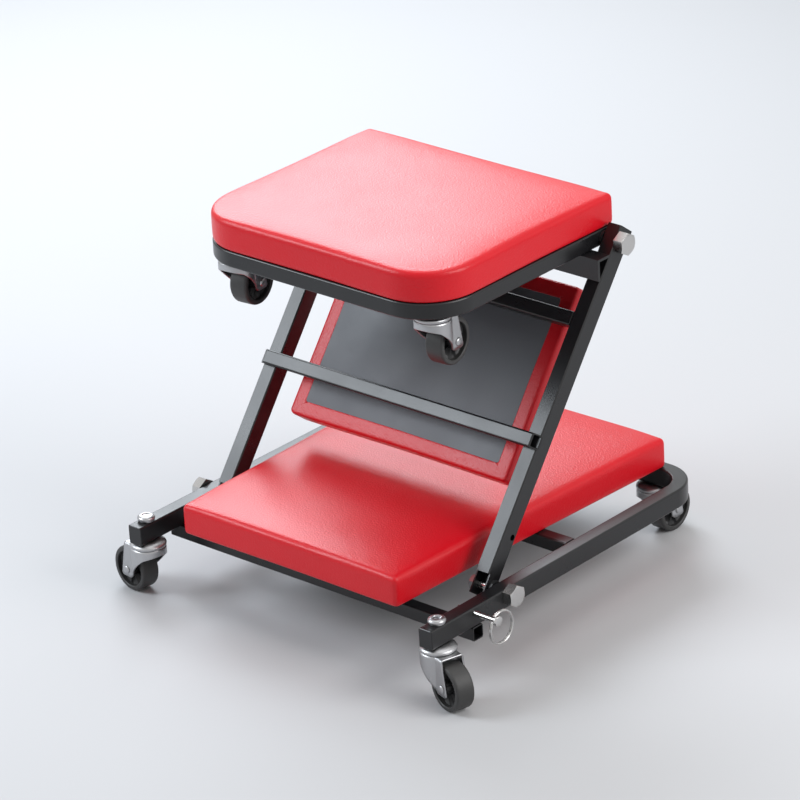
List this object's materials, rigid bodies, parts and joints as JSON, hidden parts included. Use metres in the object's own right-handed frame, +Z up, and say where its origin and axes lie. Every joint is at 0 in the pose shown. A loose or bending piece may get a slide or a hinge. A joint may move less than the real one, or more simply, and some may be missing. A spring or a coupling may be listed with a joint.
{
  "type": "folding mechanic creeper",
  "caption": "Low folding creeper on swivel casters, set up as a stool: padded base, leaning middle section and level padded seat, hinged in a Z, with a pull pin lock.",
  "frame": {"origin": "on the floor under the centre of the standing object", "axes": "+Z up, -Y towards the front edge of the seat and the open front of the base, +X to the side with the lock pin"},
  "size_m": [0.5116, 0.5002, 0.4388],
  "materials": {
    "black_powder_coat": "satin black powder coat",
    "red_vinyl": "bright red grained vinyl over foam",
    "grey_board": "grey painted back board",
    "zinc_plate": "bright zinc plate",
    "wheel_rubber": "dark wheel with a grey tread"
  },
  "bodies": {
    "base": {"base_frame": "black_powder_coat", "base_crossbar_front": "black_powder_coat", "base_crossbar_rear": "black_powder_coat", "base_board": "grey_board", "base_cushion": "red_vinyl", "base_hinge_bolt_left": "zinc_plate", "base_hinge_bolt_right": "zinc_plate", "base_hinge_nut_left": "zinc_plate", "base_hinge_nut_right": "zinc_plate", "base_hinge_spacer_left": "black_powder_coat", "base_hinge_spacer_right": "black_powder_coat", "front_left_stem": "zinc_plate", "front_left_cup": "zinc_plate", "front_right_stem": "zinc_plate", "front_right_cup": "zinc_plate", "rear_left_stem": "zinc_plate", "rear_left_cup": "zinc_plate", "rear_right_stem": "zinc_plate", "rear_right_cup": "zinc_plate"},
    "mid_section": {"mid_tube_left": "black_powder_coat", "mid_tube_right": "black_powder_coat", "mid_crossbar_lower": "black_powder_coat", "mid_crossbar_upper": "black_powder_coat", "mid_stop_angle": "black_powder_coat", "mid_board": "grey_board", "mid_cushion": "red_vinyl", "seat_hinge_bolt_left": "zinc_plate", "seat_hinge_bolt_right": "zinc_plate", "seat_hinge_nut_left": "zinc_plate", "seat_hinge_nut_right": "zinc_plate", "seat_hinge_spacer_left": "black_powder_coat", "seat_hinge_spacer_right": "black_powder_coat"},
    "seat_section": {"seat_frame": "black_powder_coat", "seat_crossbar": "black_powder_coat", "seat_board": "grey_board", "seat_cushion": "red_vinyl", "seat_left_stem": "zinc_plate", "seat_left_cup": "zinc_plate", "seat_right_stem": "zinc_plate", "seat_right_cup": "zinc_plate"},
    "lock_pin": {"lock_pin": "zinc_plate"},
    "pull_ring": {"pull_ring": "zinc_plate"},
    "front_left_fork": {"front_left_fork": "zinc_plate", "front_left_axle": "zinc_plate"},
    "front_left_wheel": {"front_left_wheel": "wheel_rubber"},
    "front_right_fork": {"front_right_fork": "zinc_plate", "front_right_axle": "zinc_plate"},
    "front_right_wheel": {"front_right_wheel": "wheel_rubber"},
    "rear_left_fork": {"rear_left_fork": "zinc_plate", "rear_left_axle": "zinc_plate"},
    "rear_left_wheel": {"rear_left_wheel": "wheel_rubber"},
    "rear_right_fork": {"rear_right_fork": "zinc_plate", "rear_right_axle": "zinc_plate"},
    "rear_right_wheel": {"rear_right_wheel": "wheel_rubber"},
    "seat_left_fork": {"seat_left_fork": "zinc_plate", "seat_left_axle": "zinc_plate"},
    "seat_left_wheel": {"seat_left_wheel": "wheel_rubber"},
    "seat_right_fork": {"seat_right_fork": "zinc_plate", "seat_right_axle": "zinc_plate"},
    "seat_right_wheel": {"seat_right_wheel": "wheel_rubber"}
  },
  "joints": [
    {"name": "base_hinge", "type": "hinge", "parent": "base", "child": "mid_section", "pos_m": [0, -0.12245, 0.081], "axis": [1, 0, 0], "range_deg": [0, 127.1]},
    {"name": "seat_hinge", "type": "hinge", "parent": "mid_section", "child": "seat_section", "pos_m": [0, 0.10362, 0.39124], "axis": [1, 0, 0], "range_deg": [-127.1, 0]},
    {"name": "lock_pin_slide", "type": "slide", "parent": "base", "child": "lock_pin", "axis": [1, 0, 0], "range_m": [-0.012, 0.015]},
    {"name": "pull_ring_swing", "type": "hinge", "parent": "lock_pin", "child": "pull_ring", "pos_m": [0.2408, -0.17865, 0.0822], "axis": [0, -0.7431, -0.6691], "range_deg": [-15, 60]},
    {"name": "front_left_swivel", "type": "hinge", "parent": "base", "child": "front_left_fork", "pos_m": [-0.206, -0.22635, 0.066], "axis": [0, 0, 1], "continuous": true},
    {"name": "front_left_wheel_spin", "type": "hinge", "parent": "front_left_fork", "child": "front_left_wheel", "pos_m": [-0.22977, -0.22301, 0.02575], "axis": [-0.1392, -0.9903, 0], "continuous": true},
    {"name": "front_right_swivel", "type": "hinge", "parent": "base", "child": "front_right_fork", "pos_m": [0.206, -0.22635, 0.066], "axis": [0, 0, 1], "continuous": true},
    {"name": "front_right_wheel_spin", "type": "hinge", "parent": "front_right_fork", "child": "front_right_wheel", "pos_m": [0.22907, -0.23297, 0.02575], "axis": [0.2756, 0.9613, 0], "continuous": true},
    {"name": "rear_left_swivel", "type": "hinge", "parent": "base", "child": "rear_left_fork", "pos_m": [-0.15, 0.20065, 0.066], "axis": [0, 0, 1], "continuous": true},
    {"name": "rear_left_wheel_spin", "type": "hinge", "parent": "rear_left_fork", "child": "rear_left_wheel", "pos_m": [-0.15, 0.22465, 0.02575], "axis": [-1, 0, 0], "continuous": true},
    {"name": "rear_right_swivel", "type": "hinge", "parent": "base", "child": "rear_right_fork", "pos_m": [0.15, 0.20065, 0.066], "axis": [0, 0, 1], "continuous": true},
    {"name": "rear_right_wheel_spin", "type": "hinge", "parent": "rear_right_fork", "child": "rear_right_wheel", "pos_m": [0.15, 0.22465, 0.02575], "axis": [-1, 0, 0], "continuous": true},
    {"name": "seat_left_swivel", "type": "hinge", "parent": "seat_section", "child": "seat_left_fork", "pos_m": [-0.13651, -0.13189, 0.38374], "axis": [0, 0, 1], "continuous": true},
    {"name": "seat_left_wheel_spin", "type": "hinge", "parent": "seat_left_fork", "child": "seat_left_wheel", "pos_m": [-0.13902, -0.10802, 0.34349], "axis": [-0.9945, -0.1045, 0], "continuous": true},
    {"name": "seat_right_swivel", "type": "hinge", "parent": "seat_section", "child": "seat_right_fork", "pos_m": [0.13651, -0.13189, 0.38374], "axis": [0, 0, 1], "continuous": true},
    {"name": "seat_right_wheel_spin", "type": "hinge", "parent": "seat_right_fork", "child": "seat_right_wheel", "pos_m": [0.134, -0.10802, 0.34349], "axis": [-0.9945, -0.1045, 0], "continuous": true}
  ]
}
